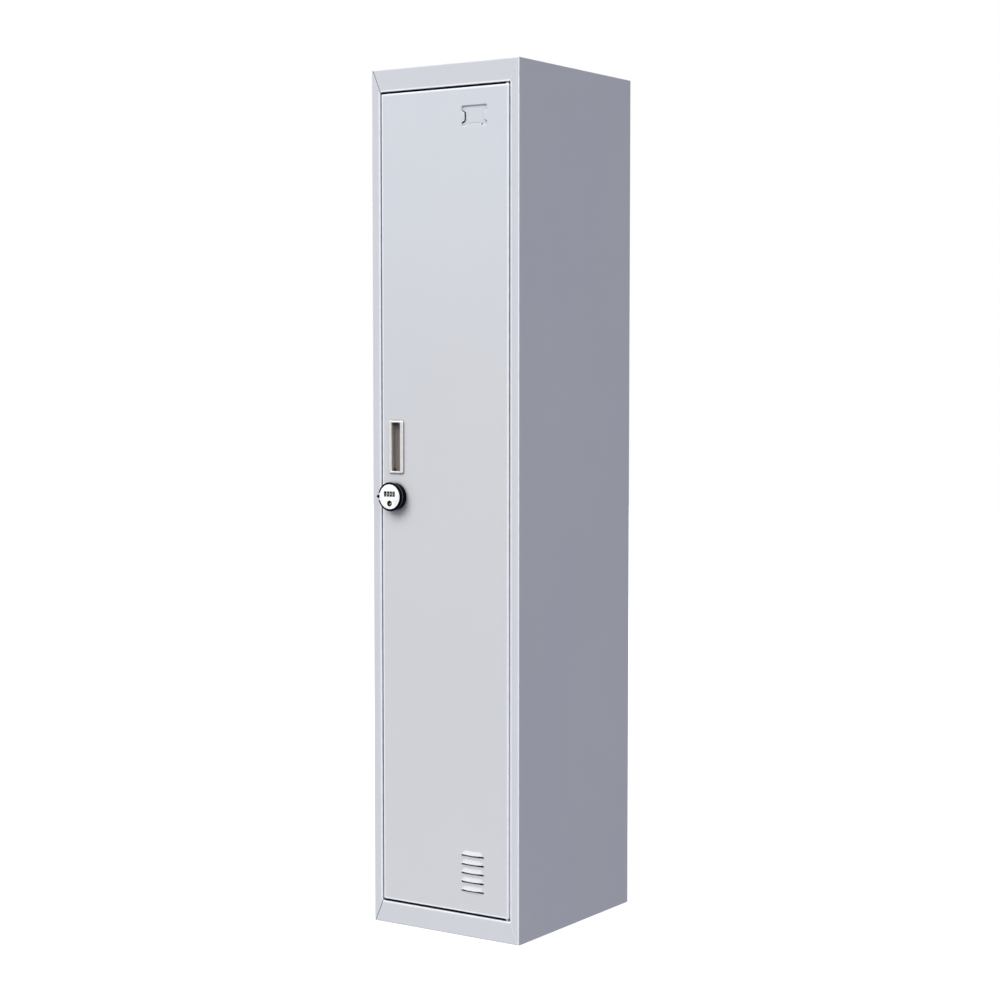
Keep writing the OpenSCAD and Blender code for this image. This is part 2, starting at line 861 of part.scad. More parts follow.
module cam_screw() {
    color(zinc) at_lock() {
        translate([0, 0, cam_z[0] - 2.5]) cylinder(r1 = 4, r2 = 5.5, h = 2.5);
        translate([0, 0, cam_z[0]]) cylinder(r = 1.95, h = 10);
    }
}

module wheel_axle() {
    color(zinc) at_lock() translate([0, wheel_y, wheel_z]) rotate([0, 90, 0])
        cylinder(r = axle_r, h = axle_length, center = true);
}

// Code wheel i, from 0 at the left, with ten finger notches round its rim
module code_wheel(i) {
    color(black) at_lock() translate([(i - 1.5) * wheel_pitch, wheel_y, wheel_z]) rotate([0, 90, 0]) difference() {
        cylinder(r = wheel_r, h = wheel_w, center = true);
        cylinder(r = axle_r + running, h = 10, center = true);
        for (k = [0 : 9]) {
            rotate(k * 36 + 18) translate([wheel_r + 0.5, 0, 0]) cylinder(r = 0.9, h = 10, center = true);
        }
    }
}

module key_plug() {
    color(brass) at_lock() translate([0, plug_y, 0]) difference() {
        translate([0, 0, 8]) cylinder(r = plug_r, h = face_front + 0.3 - 8);
        translate([0, 0, face_front]) cube([1.6, 7, 8], center = true);
    }
}

// ---- Nodes ---------------------------------------------------------------

left_side_panel();
right_side_panel();
top_panel();
base_panel();
back_panel();
back_rivets();
corner_plates();
floor_stiffener();
hat_shelf();
shelf_brackets();
shelf_screws();
hanging_rod();
left_rod_socket();
right_rod_socket();
upper_hinge_pin();
lower_hinge_pin();
hinge_washers();
door_buffers();
door_panel();
door_stiffener();
upper_hinge_bush();
lower_hinge_bush();
pull_cup();
pull_trim();
handle_clips();
lock_housing();
lock_nut();
lock_knob();
lock_face();
window_frames();
lock_cam();
cam_screw();
wheel_axle();
code_wheel(0);  // code_wheel_1
code_wheel(1);  // code_wheel_2
code_wheel(2);  // code_wheel_3
code_wheel(3);  // code_wheel_4
key_plug();
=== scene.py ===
import json
import math

import bmesh
import bpy
from mathutils import Matrix, Vector


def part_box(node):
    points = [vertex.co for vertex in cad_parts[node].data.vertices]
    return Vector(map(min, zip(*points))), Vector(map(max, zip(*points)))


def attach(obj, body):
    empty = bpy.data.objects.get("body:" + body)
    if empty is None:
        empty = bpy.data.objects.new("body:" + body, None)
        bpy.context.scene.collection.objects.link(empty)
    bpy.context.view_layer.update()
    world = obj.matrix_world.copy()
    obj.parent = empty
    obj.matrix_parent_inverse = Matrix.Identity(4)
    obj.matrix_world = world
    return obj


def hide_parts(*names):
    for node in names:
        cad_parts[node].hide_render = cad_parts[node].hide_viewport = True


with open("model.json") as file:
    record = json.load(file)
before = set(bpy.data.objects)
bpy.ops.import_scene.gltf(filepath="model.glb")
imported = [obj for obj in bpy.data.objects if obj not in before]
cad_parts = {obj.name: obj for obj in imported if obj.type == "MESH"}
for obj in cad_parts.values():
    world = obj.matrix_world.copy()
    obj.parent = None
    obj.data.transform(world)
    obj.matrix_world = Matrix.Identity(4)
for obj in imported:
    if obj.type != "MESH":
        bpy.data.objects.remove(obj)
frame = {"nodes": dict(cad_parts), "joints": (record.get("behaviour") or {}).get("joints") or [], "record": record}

MM, PER_METRE = 0.001, 1000     # a millimetre in metres, and the other way
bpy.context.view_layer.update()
joints = {j["name"]: j for j in frame["joints"]}


# ---- Mesh helpers ----------------------------------------------------------

def finish_mesh(name, bm, material, body, node, slot, angle=32):
    """Turns a bmesh (in millimetres) into a piece that rides on a body in place of a node."""
    bmesh.ops.scale(bm, vec=(MM, MM, MM), verts=bm.verts)
    bmesh.ops.remove_doubles(bm, verts=bm.verts, dist=1e-7)
    bmesh.ops.recalc_face_normals(bm, faces=bm.faces)
    mesh = bpy.data.meshes.new(name)
    bm.to_mesh(mesh)
    bm.free()
    mesh.shade_smooth()
    mesh.set_sharp_from_angle(angle=math.radians(angle))
    obj = bpy.data.objects.new(name, mesh)
    bpy.context.scene.collection.objects.link(obj)
    mesh.materials.append(material)
    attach(obj, body)
    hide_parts(node)
    return obj


def loft(bm, loops, close=True, cap_start=False, cap_end=False, ring=False):
    """Joins loops of equal length with quads; a ring also joins the last loop to the first."""
    rows = [[bm.verts.new(p) for p in loop] for loop in loops]
    count = len(rows[0])
    for a, b in zip(rows, rows[1:] + rows[:1] if ring else rows[1:]):
        for i in range(count if close else count - 1):
            j = (i + 1) % count
            bm.faces.new((a[i], a[j], b[j], b[i]))
    if cap_start:
        bm.faces.new(rows[0])
    if cap_end:
        bm.faces.new(rows[-1])


def lathe(bm, profile, place, segments=96):
    """Turns a profile of (radius, height) about the local Z axis of the matrix place."""
    turns = [2 * math.pi * k / segments for k in range(segments)]
    loft(bm, [
        [place @ Vector((r * math.cos(a), r * math.sin(a), z)) for r, z in profile] for a in turns
    ], close=False, ring=True)


def circle(x, y, r, steps=64):
    turns = [2 * math.pi * k / steps for k in range(steps)]
    return [(x + r * math.cos(a), y + r * math.sin(a)) for a in turns]


def rectangle(x, y, w, h, r=0.6, steps=4):
    """Points of a rectangle with rounded corners, centred on (x, y)."""
    points = []
    for k, (sx, sy) in enumerate(((1, 1), (-1, 1), (-1, -1), (1, -1))):
        for i in range(steps + 1):
            a = math.radians(90 * k + 90 * i / steps)
            points.append((
                x + sx * (w / 2 - r) + r * math.cos(a),
                y + sy * (h / 2 - r) + r * math.sin(a),
            ))
    return points


def fillet(corners, steps=4):
    """A profile whose corners (radius, height, rounding) are rounded off."""
    out = []
    last = len(corners) - 1
    for i, (x, z, r) in enumerate(corners):
        if r <= 0 or i in (0, last):
            out.append((x, z))
            continue
        p = Vector((x, z))
        a = (Vector(corners[i - 1][:2]) - p).normalized()
        b = (Vector(corners[i + 1][:2]) - p).normalized()
        half = a.angle(b) / 2
        reach = r / math.tan(half)
        centre = p + (a + b).normalized() * (r / math.sin(half))
        start, end = p + a * reach - centre, p + b * reach - centre
        for s in range(steps + 1):
            out.append(tuple(centre + start.lerp(end, s / steps).normalized() * r))
    return out


def smooth(t):
    """Eases from 0 to 1."""
    t = max(0.0, min(1.0, t))
    return t * t * (3 - 2 * t)


def quarter(steps):
    """Angles over a quarter turn."""
    return [math.radians(90 * i / steps) for i in range(steps + 1)]


def spaced(start, end, step):
    """Even places from start to end, about a step apart."""
    count = max(1, round((end - start) / step))
    return [start + (end - start) * i / count for i in range(count + 1)]


def curve_to_bmesh(curve, place):
    """The mesh of a curve, moved by a matrix; the curve is used up."""
    obj = bpy.data.objects.new(curve.name, curve)
    bpy.context.scene.collection.objects.link(obj)
    bpy.context.view_layer.update()
    evaluated = obj.evaluated_get(bpy.context.evaluated_depsgraph_get())
    mesh = bpy.data.meshes.new_from_object(evaluated)
    bm = bmesh.new()
    bm.from_mesh(mesh)
    bm.transform(place)
    bpy.data.objects.remove(obj)
    bpy.data.curves.remove(curve)
    bpy.data.meshes.remove(mesh)
    return bm


def flat_curve(name, outlines, place, thick, bevel):
    """A flat plate from closed outlines (the first is the outside), as a bmesh."""
    curve = bpy.data.curves.new(name, "CURVE")
    curve.dimensions = "2D"
    curve.fill_mode = "BOTH"
    curve.extrude = thick / 2 - bevel
    curve.bevel_depth = bevel
    curve.bevel_resolution = 2
    curve.offset = -bevel
    for points in outlines:
        spline = curve.splines.new("POLY")
        spline.points.add(len(points) - 1)
        for p, (x, y) in zip(spline.points, points):
            p.co = (x, y, 0, 1)
        spline.use_cyclic_u = True
    return curve_to_bmesh(curve, place)


def add_part(bm, part):
    """Moves the faces of one bmesh into another."""
    mesh = bpy.data.meshes.new("part")
    part.to_mesh(mesh)
    part.free()
    bm.from_mesh(mesh)
    bpy.data.meshes.remove(mesh)


def thicken(obj, thickness):
    """Gives a sheet its thickness, behind the drawn side."""
    m = obj.modifiers.new("Sheet", "SOLIDIFY")
    m.thickness = thickness
    m.offset = -1
    m.use_quality_normals = True
    bpy.context.view_layer.update()
    evaluated = obj.evaluated_get(bpy.context.evaluated_depsgraph_get())
    mesh = bpy.data.meshes.new_from_object(evaluated)
    obj.modifiers.clear()
    obj.data = mesh
    mesh.shade_smooth()
    mesh.set_sharp_from_angle(angle=math.radians(40))


# ---- Shader helpers --------------------------------------------------------

class Nodes:
    """Short ways to add and link shader nodes. Places are in metres, in the object's own space."""

    def __init__(self, name):
        self.material = bpy.data.materials.new(name)
        self.material.use_nodes = True
        self.tree = self.material.node_tree
        self.shader = self.tree.nodes["Principled BSDF"]
        self.coords = self.add("ShaderNodeTexCoord").outputs["Object"]

    def add(self, kind, **values):
        node = self.tree.nodes.new(kind)
        for key, value in values.items():
            setattr(node, key, value)
        return node

    def link(self, a, b):
        self.tree.links.new(a, b)

    def noise(self, scale, detail=2.0, stretch=None):
        node = self.add("ShaderNodeTexNoise")
        node.inputs["Scale"].default_value = scale
        node.inputs["Detail"].default_value = detail
        node.inputs["Roughness"].default_value = 0.5
        source = self.coords
        if stretch:
            mapping = self.add("ShaderNodeMapping")
            mapping.inputs["Scale"].default_value = stretch
            self.link(source, mapping.inputs["Vector"])
            source = mapping.outputs["Vector"]
        self.link(source, node.inputs["Vector"])
        return node.outputs["Fac"]

    def ramp(self, source, low, high, at=(0.3, 0.7)):
        """Maps a value that runs between the two ends of at to run from low to high."""
        node = self.add("ShaderNodeMapRange")
        node.inputs["From Min"].default_value = at[0]
        node.inputs["From Max"].default_value = at[1]
        node.inputs["To Min"].default_value = low
        node.inputs["To Max"].default_value = high
        self.link(source, node.inputs["Value"])
        return node.outputs["Result"]

    def mix(self, factor, a, b, blend="MIX"):
        """Mixes two colours, each a tuple or a socket."""
        node = self.add("ShaderNodeMix", data_type="RGBA", blend_type=blend)
        if isinstance(factor, (int, float)):
            node.inputs[0].default_value = factor
        else:
            self.link(factor, node.inputs[0])
        for socket, value in ((node.inputs[6], a), (node.inputs[7], b)):
            if isinstance(value, tuple):
                socket.default_value = (*value, 1)
            else:
                self.link(value, socket)
        return node.outputs[2]

    def maths(self, operation, a, b=None):
        node = self.add("ShaderNodeMath", operation=operation)
        for socket, value in zip(node.inputs, (a, b)):
            if isinstance(value, (int, float)):
                socket.default_value = value
            elif value is not None:
                self.link(value, socket)
        return node.outputs["Value"]

    def both(self, a, b):
        return self.maths("MULTIPLY", a, b)

    def either(self, a, b):
        return self.maths("MAXIMUM", a, b)

    def axis(self, index, size=False):
        """One coordinate of the object, or its size without the sign."""
        split = self.add("ShaderNodeSeparateXYZ")
        self.link(self.coords, split.inputs[0])
        value = split.outputs[index]
        return self.maths("ABSOLUTE", value) if size else value

    def near(self, source, place, width):
        """1 at a coordinate, falling to 0 at a distance from it."""
        distance = self.maths("ABSOLUTE", self.maths("SUBTRACT", source, place))
        return self.ramp(distance, 1.0, 0.0, (width * 0.4, width))

    def between(self, source, low, high):
        return self.both(self.maths("GREATER_THAN", source, low), self.maths("LESS_THAN", source, high))

    def edges(self, radius, low=0.02, high=0.25):
        """1 on sharp edges, 0 on flat faces."""
        bevel = self.add("ShaderNodeBevel", samples=4)
        bevel.inputs["Radius"].default_value = radius
        geometry = self.add("ShaderNodeNewGeometry")
        dot = self.add("ShaderNodeVectorMath", operation="DOT_PRODUCT")
        self.link(bevel.outputs["Normal"], dot.inputs[0])
        self.link(geometry.outputs["Normal"], dot.inputs[1])
        return self.ramp(dot.outputs["Value"], 1.0, 0.0, (1 - high, 1 - low))

    def openness(self, reach):
        """How open the surroundings of a point are: 0 deep in a gap, 1 on an open face."""
        node = self.add("ShaderNodeAmbientOcclusion", samples=6)
        node.inputs["Distance"].default_value = reach
        return node.outputs["AO"]

    def rectangle_edges(self, half, low, high, width, top_depth):
        """1 along the front edges of an upright rectangle that is centred on the object's middle."""
        x, y, z = self.axis(0, size=True), self.axis(1), self.axis(2)
        sides = self.both(self.near(x, half, width), self.between(z, low - MM, high + MM))
        sides = self.both(sides, self.ramp(self.near(y, FRONT * MM, width), 0.0, SIDE_HIGHLIGHT, (0, 1)))
        bottom = self.both(self.near(z, low, width), self.near(y, FRONT * MM, SHALLOW))
        top = self.both(self.near(z, high, width), self.near(y, FRONT * MM, top_depth))
        ends = self.both(self.either(bottom, top), self.maths("LESS_THAN", x, half + MM))
        return self.either(sides, ends)

    def corner_edge(self, x, width):
        """1 along an upright front corner."""
        front = self.near(self.axis(1), FRONT * MM, width * 0.6)
        return self.both(self.near(self.axis(0), x, width), front)

    def end_gaps(self, half, low, high):
        """1 in the gaps above and below the door, and in the mitres on the handle side."""
        z = self.axis(2)
        ends = self.either(self.maths("LESS_THAN", z, low), self.maths("GREATER_THAN", z, high))
        ends = self.both(ends, self.maths("LESS_THAN", self.axis(0), half))
        return self.both(ends, self.maths("LESS_THAN", self.axis(1), FRONT * MM + FRAME_DEPTH))

    def hinge_gap(self):
        """1 low on the hinge side, where the gap is painted lighter to stand in for the light that reaches into
        it, 0 elsewhere.
        """
        low_down = self.ramp(self.axis(2), 1.0, 0.0, (0.3, 1.2))
        return self.both(low_down, self.maths("GREATER_THAN", self.axis(0), 0.15))

    def bump(self, *layers):
        """Stacks bumps of (height, strength, distance)."""
        normal = None
        for height, strength, distance in layers:
            node = self.add("ShaderNodeBump")
            node.inputs["Strength"].default_value = strength
            node.inputs["Distance"].default_value = distance
            self.link(height, node.inputs["Height"])
            if normal:
                self.link(normal, node.inputs["Normal"])
            normal = node.outputs["Normal"]
        self.link(normal, self.shader.inputs["Normal"])

    def set(self, **values):
        """Sets constant inputs of the shader, or links a socket to them."""
        for key, value in values.items():
            socket = self.shader.inputs[key.replace("_", " ")]
            if isinstance(value, (int, float)):
                socket.default_value = value
            else:
                self.link(value, socket)


def scaled(colour, factor):
    return tuple(c * factor for c in colour)


# ---- Kinds of material -----------------------------------------------------

door_low, door_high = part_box("door_panel")
casing_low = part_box("left_side_panel")[0]
FRONT = casing_low.y * PER_METRE  # the casing's front plane
SIDE_GAP, END_GAP = 0.003, 0.004
DOOR = (door_high.x, door_low.z, door_high.z)
OPENING = (door_high.x + SIDE_GAP, door_low.z - END_GAP, door_high.z + END_GAP)
SIDE_HIGHLIGHT = 0.72               # strength of the painted highlight on upright edges
SHALLOW = 0.0003                # depth of a painted highlight line that stops short of the gap
FRAME_DEPTH = 0.03              # depth of the frame in which the end gaps lie
EDGE_WIDTH, CORNER_WIDTH = 0.0056, 0.0034


def powder_coat(name, colour, rough=0.42, painted_highlights=(), end_shade_range=(0.6, 0.88), painted_light_by_height=None):
    """Powder coat, lighter along edges from wear and from painted highlights, with painted shade in the gaps and a
    painted lighter tone low in the hinge-side gap.
    """
    n = Nodes(name)
    tone = n.mix(n.ramp(n.noise(2.2, 3), 0, 1), scaled(colour, 0.985), scaled(colour, 1.015))
    cool = (colour[0] * 0.975, colour[1] * 0.99, colour[2] * 1.02)
    patches = n.ramp(n.noise(4.5, 2, stretch=(1, 1, 0.35)), 0, 0.7, (0.45, 0.75))
    tone = n.mix(patches, tone, cool)
    specks = n.ramp(n.noise(2600, 1), 0, 0.22, (0.62, 0.8))
    tone = n.mix(specks, tone, scaled(colour, 0.8))
    # Painted light: the face is tinted lighter and cooler towards the top, slightly warmer low down.
    if painted_light_by_height:
        low, high, heights = painted_light_by_height
        tone = n.mix(1.0, tone, n.mix(n.ramp(n.axis(2), 0.0, 1.0, heights), low, high), "MULTIPLY")

    # Painted shade: near black in the gaps above and below the door, darker in the side gaps where the
    # surroundings close in, and a painted lighter tone low in the hinge-side gap.
    end_gaps = n.end_gaps(OPENING[0], OPENING[1] + 0.006, OPENING[2] - 0.006)
    side_gap_shade_and_light = n.mix(n.hinge_gap(), scaled(colour, 0.34), scaled(colour, 1.35))
    gap_shade_and_light = n.mix(end_gaps, side_gap_shade_and_light, scaled(colour, 0.04))
    open_air = n.openness(0.010)
    unshaded = n.ramp(open_air, 0.0, 1.0, (0.46, 0.87))
    unshaded_ends = n.either(n.ramp(open_air, 0.0, 1.0, end_shade_range), n.maths("SUBTRACT", 1.0, end_gaps))
    tone = n.mix(n.both(unshaded, unshaded_ends), gap_shade_and_light, tone)

    # Lighter along edges: wear where the bevel mask finds sharp edges, plus painted highlights along the listed
    # lines; worn carries both.
    worn = n.edges(0.0012, 0.004, 0.08)
    for line, *sizes in painted_highlights:
        worn = n.either(worn, line(n, *sizes))
    worn = n.both(worn, n.ramp(n.noise(60, 3), 0.8, 1.0, (0.35, 0.6)))
    n.set(
        Base_Color=n.mix(worn, tone, scaled(colour, 1.5)), IOR=1.48,
        Roughness=n.ramp(n.noise(35, 3), rough - 0.04, rough + 0.06))
    n.bump((n.noise(420, 2), 0.10, 0.0004), (n.noise(2200, 2), 0.10, 0.0001))
    return n.material


def metal(
        name, colour, rough=0.3, grain=(1, 1, 1), grain_bump=0.08, stain=0.06, metallic=1.0, corners=0):
    """Brushed or plated metal with stains, grain and brighter edges; corners is a reach for painted shade in
    corners.
    """
    n = Nodes(name)
    tone = n.mix(n.ramp(n.noise(90, 4), 0, 1), scaled(colour, 1 - stain), scaled(colour, 1 + stain))
    # Painted shade: darker where the surroundings close in.
    if corners:
        tone = n.mix(n.ramp(n.openness(corners), 0.0, 1.0, (0.5, 0.95)), scaled(colour, 0.25), tone)
    streak = n.noise(900, 3, stretch=grain)
    tone = n.mix(n.ramp(streak, 0, 0.3), tone, scaled(colour, 0.86))
    worn = n.both(n.edges(0.0006), n.ramp(n.noise(500, 2), 0, 0.5))
    n.set(
        Base_Color=n.mix(worn, tone, scaled(colour, 1.25)), Metallic=metallic,
        Roughness=n.ramp(streak, rough - 0.05, rough + 0.07))
    n.bump((n.noise(260, 2), 0.05, 0.0003), (streak, grain_bump, 0.0001))
    return n.material


def plastic(
        name, colour, rough=0.3, specular=0.5, wear=0.3, grain_bump=0.05, corners=0, shade_across=None):
    """Moulded or painted plastic; corners is a reach for painted shade in corners, and shade_across two places
    across a cup over which painted shade deepens.
    """
    n = Nodes(name)
    tone = n.mix(n.ramp(n.noise(60, 3), 0, 1), scaled(colour, 0.92), scaled(colour, 1.08))
    if corners:
        # Painted shade: near black where the surroundings close in.
        tone = n.mix(n.ramp(n.openness(corners), 0.0, 1.0, (0.42, 0.92)), scaled(colour, 0.04), tone)
    # Painted shade: darker towards the right across the cup.
    if shade_across:
        tone = n.mix(n.ramp(n.axis(0), 0.0, 1.0, shade_across), tone, scaled(colour, 0.33))
    worn = n.both(n.edges(0.0006), n.ramp(n.noise(700, 2), 0, wear))
    light = tuple(min(1, c * 1.3 + 0.03) for c in colour)
    n.set(
        Base_Color=n.mix(worn, tone, light), IOR=1.5, Specular_IOR_Level=specular,
        Roughness=n.ramp(n.noise(300, 3), rough - 0.04, rough + 0.06))
    n.bump((n.noise(1200, 2), grain_bump, 0.0001), (n.noise(150, 2), 0.03, 0.0003))
    return n.material


# ---- Materials -------------------------------------------------------------

PAINT = (0.56, 0.57, 0.595)
# Painted highlights along the casing's right front corner and round the door opening.
casing_paint = powder_coat("Casing powder coat", PAINT, painted_highlights=[
    (Nodes.corner_edge, -casing_low.x, CORNER_WIDTH),
    (Nodes.rectangle_edges, *OPENING, EDGE_WIDTH, SHALLOW),
])
# Painted highlights round the door's edges; painted_light_by_height paints the face lighter towards the top.
door_paint = powder_coat(
    "Door powder coat", PAINT, rough=0.4, end_shade_range=(0.75, 0.99),
    painted_highlights=[(Nodes.rectangle_edges, *DOOR, EDGE_WIDTH, 0.003)],
    painted_light_by_height=((1.005, 0.997, 0.978), (1.035, 1.055, 1.06), (1.05, 1.75)))
# Dark paint on the backing plates, which show only through the mitre seams: painted shade in the seams.
primer = powder_coat("Seam shade paint", (0.13, 0.13, 0.14), rough=0.6)

zinc = metal("Zinc plate", (0.62, 0.62, 0.60), rough=0.38)
chrome = metal("Chromed tube", (0.75, 0.76, 0.78), rough=0.16, grain=(0.05, 1, 1), stain=0.03)
# corners gives the trim painted shade where it meets the door and the cup.
nickel = metal(
    "Satin nickel", (0.88, 0.845, 0.79), rough=0.34, grain=(1, 1, 0.12), grain_bump=0.12, metallic=0.6,
    corners=0.006)
brass = metal("Turned brass", (0.95, 0.88, 0.68), rough=0.35, stain=0.1)
# The plug's brass is made near black.
plug_dark = metal("Near-black brass", (0.03, 0.025, 0.01), rough=0.45, stain=0.2)

# Painted shade in the cup's corners and across its floor, darker towards the right.
cup_paint = plastic(
    "Cup finish", (0.72, 0.66, 0.60), rough=0.6, specular=0.05, grain_bump=0.1, corners=0.010,
    shade_across=(-0.1395, -0.1338))
# The knob's skirt is a bluish dark grey, lighter than the black ring: a painted sheen for the reflection along its
# side.
skirt_sheen_grey = plastic("Dark grey with painted sheen", (0.07, 0.08, 0.11), rough=0.45, specular=0.15, wear=0)
nylon = plastic("Moulded nylon", (0.80, 0.80, 0.77), rough=0.45)
rubber = plastic("Buffer rubber", (0.03, 0.03, 0.03), rough=0.75, grain_bump=0.15)
gloss_black = plastic("Glossy black", (0.0012, 0.0012, 0.002), rough=0.24, specular=0.04, wear=0)
wheel_black = plastic("Wheel black", (0.002, 0.002, 0.002), rough=0.5, specular=0.06, wear=0.02)
face_white = plastic("Face plate", (0.88, 0.88, 0.87), rough=0.4, specular=0.4, wear=0.1)
figure_white = plastic("Printed figures", (0.90, 0.90, 0.88), rough=0.5)

slot_material = {
    "casing_paint": casing_paint, "door_paint": door_paint, "zinc": zinc, "chrome": chrome,
    "nylon": nylon, "rubber": rubber, "satin_nickel": nickel, "lock_black": gloss_black,
    "lock_face": face_white, "wheel_black": wheel_black, "brass": brass,
    "cup_plastic": cup_paint, "dark_primer": primer,
}
for part in frame["record"]["subparts"]:
    node = frame["nodes"][part["node"]]
    node.data.materials.clear()
    node.data.materials.append(slot_material[part["material_slot"]])


# ---- Door ------------------------------------------------------------------

low, high = (v * PER_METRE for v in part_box("door_panel"))
trim_low, trim_high = (v * PER_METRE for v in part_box("pull_trim"))
cup_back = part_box("pull_cup")[1].y * PER_METRE

SHEET = 0.8
BEND = 2.0                      # outer radius of the door's bends
LABEL = Vector((77.5, 1738.5))  # centre of the label recess
LABEL_WIDE, LABEL_TALL, LABEL_DEEP = 66.0, 44.0, 3.4
LABEL_CORNER, LABEL_SLOPE = 4.0, 2.8
VENT = Vector((72.0, 101.0))    # centre and lip height of the lowest louvre
VENTS, VENT_PITCH = 5, 19.0
VENT_HALF, VENT_TALL, VENT_SLOT = 30.0, 8.0, 3.6
VENT_REACH = FRONT - low.y
VENT_TAPER, VENT_END, VENT_BOW = 8.0, 5.0, 2.4
FINE_X, FINE_Z, FINE = (40, 112), (1712, 1765), 0.75  # where the face's grid is dense, and its step
PULL = (trim_low + trim_high) / 2
PULL_WIDE, PULL_TALL = trim_high.x - trim_low.x, trim_high.z - trim_low.z
CUT_X = (PULL.x - 17, PULL.x + 17)
CUT_Z = (PULL.z - (PULL_TALL - 4) / 2, PULL.z + (PULL_TALL - 4) / 2)


def tab_outlines(grow):
    """Outlines, from the label's centre, of the three tabs that hold a card."""
    w, h = LABEL_WIDE / 2, LABEL_TALL / 2
    sides = [[
        (s * (w + 0.6), 11 + grow), (s * (w - 1 - grow), 11 + grow),
        (s * (w - 8.5 - grow), 7 + grow), (s * (w - 8.5 - grow), -9 - grow),
        (s * (w - 1 - grow), -13.5 - grow), (s * (w + 0.6), -13.5 - grow),
    ] for s in (-1, 1)]
    rise = grow / 5
    bottom = [
        (-18.5 - grow, -h - 0.6), (-18.5 - grow, -h + 4 + rise), (-16.5, -h + 5 + rise),
        (16.5, -h + 5 + rise), (18.5 + grow, -h + 4 + rise), (18.5 + grow, -h - 0.6),
    ]
    return sides + [bottom]


def inside(x, y, polygon):
    found = False
    for (ax, ay), (bx, by) in zip(polygon, polygon[1:] + polygon[:1]):
        if (ay > y) != (by > y) and x < (bx - ax) * (y - ay) / (by - ay) + ax:
            found = not found
    return found


def dish(x, z):
    """How deep the label recess is at a point of the door face."""
    qx = abs(x - LABEL.x) - (LABEL_WIDE / 2 - LABEL_CORNER)
    qz = abs(z - LABEL.y) - (LABEL_TALL / 2 - LABEL_CORNER)
    outside = math.hypot(max(qx, 0), max(qz, 0)) + min(max(qx, qz), 0) - LABEL_CORNER
    return LABEL_DEEP * smooth(-outside / LABEL_SLOPE)


def vent_place(z):
    """The louvre that a height belongs to, and how far up its hood the height is."""
    row = math.floor((z - VENT.y) / VENT_PITCH + 1e-6)
    return row, (z - VENT.y - row * VENT_PITCH) / VENT_TALL


def hood(x, z):
    """How far the louvres stand out at a point of the door face."""
    row, up = vent_place(z)
    end = (VENT_HALF - abs(x - VENT.x) - VENT_TAPER * up) / VENT_END
    if not 0 <= row < VENTS or up > 1 or end <= 0:
        return 0.0
    return VENT_REACH * (1 - up ** 1.4) * smooth(end) ** 0.55


def bow(x, z):
    """How far a louvre's lip rises towards its ends."""
    row, up = vent_place(z)
    side = abs(x - VENT.x) / VENT_HALF
    if not 0 <= row < VENTS or up > 1 or side > 1:
        return 0.0
    return VENT_BOW * side ** 2 * (1 - side ** 10) * (1 - up)


def face_columns():
    xs = spaced(low.x + BEND, CUT_X[0], 8) + spaced(*CUT_X, 8) + spaced(CUT_X[1], FINE_X[0], 24)
    return xs + spaced(*FINE_X, FINE) + spaced(FINE_X[1], high.x - BEND, 12)


def face_rows(lips):
    zs = spaced(low.z + BEND, VENT.y - VENT_SLOT, 14)
    for lip in lips:
        zs += [lip - 0.02] + spaced(lip, lip + VENT_TALL, 0.5)
        zs += spaced(lip + VENT_TALL, lip + VENT_PITCH - VENT_SLOT, 2)
    zs += spaced(VENT.y + VENTS * VENT_PITCH, CUT_Z[0], 30)[1:]
    zs += spaced(*CUT_Z, 12) + spaced(CUT_Z[1], FINE_Z[0], 30)
    return zs + spaced(*FINE_Z, FINE) + spaced(FINE_Z[1], high.z - BEND, 10)


def door_face():
    """The door's front sheet: a grid, dense where the sheet is pressed."""
    lips = [VENT.y + row * VENT_PITCH for row in range(VENTS)]
    xs = sorted(set(round(x, 4) for x in face_columns()))
    zs = sorted(set(round(z, 4) for z in face_rows(lips)))
    tabs = tab_outlines(1.2)

    def open_here(x, z):
        pull = CUT_X[0] < x < CUT_X[1] and CUT_Z[0] < z < CUT_Z[1]
        across = abs(x - VENT.x) < VENT_HALF - 1.5
        vent = across and any(lip - VENT_SLOT < z < lip for lip in lips)
        flat = dish(x, z) > LABEL_DEEP * 0.6
        tab = flat and any(inside(x - LABEL.x, z - LABEL.y, t) for t in tabs)
        return pull or vent or tab

    bm = bmesh.new()
    grid = [[bm.verts.new((x, FRONT + dish(x, z) - hood(x, z), z + bow(x, z))) for z in zs] for x in xs]
    for i in range(len(xs) - 1):
        for k in range(len(zs) - 1):
            if not open_here((xs[i] + xs[i + 1]) / 2, (zs[k] + zs[k + 1]) / 2):
                bm.faces.new((grid[i][k], grid[i + 1][k], grid[i + 1][k + 1], grid[i][k + 1]))
    loose = [v for v in bm.verts if not v.link_faces]
    bmesh.ops.delete(bm, geom=loose, context="VERTS")
    return bm


def big_faces(bm, side, area):
    """The faces larger than an area that look to the front (side -1) or to the back (1)."""
    return [f for f in bm.faces if f.normal.y * side > 0.999 and f.calc_area() > area]


def door_rim():
    """The folded edge of the door: a box with rounded edges, open at the front and the back."""
    bm = bmesh.new()
    size = high - Vector((low.x, FRONT, low.z))
    centre = Vector((0, FRONT + size.y / 2, (low.z + high.z) / 2))
    bmesh.ops.create_cube(bm, size=1, matrix=Matrix.Translation(centre) @ Matrix.Diagonal((*size, 1)))
    bmesh.ops.bevel(bm, geom=bm.edges[:], offset=BEND, segments=5, profile=0.5, affect="EDGES")
    bmesh.ops.delete(bm, geom=big_faces(bm, -1, 1000), context="FACES")
    bmesh.ops.inset_region(bm, faces=big_faces(bm, 1, 1000), thickness=10.0)
    bmesh.ops.delete(bm, geom=big_faces(bm, 1, 100000), context="FACES")
    return bm


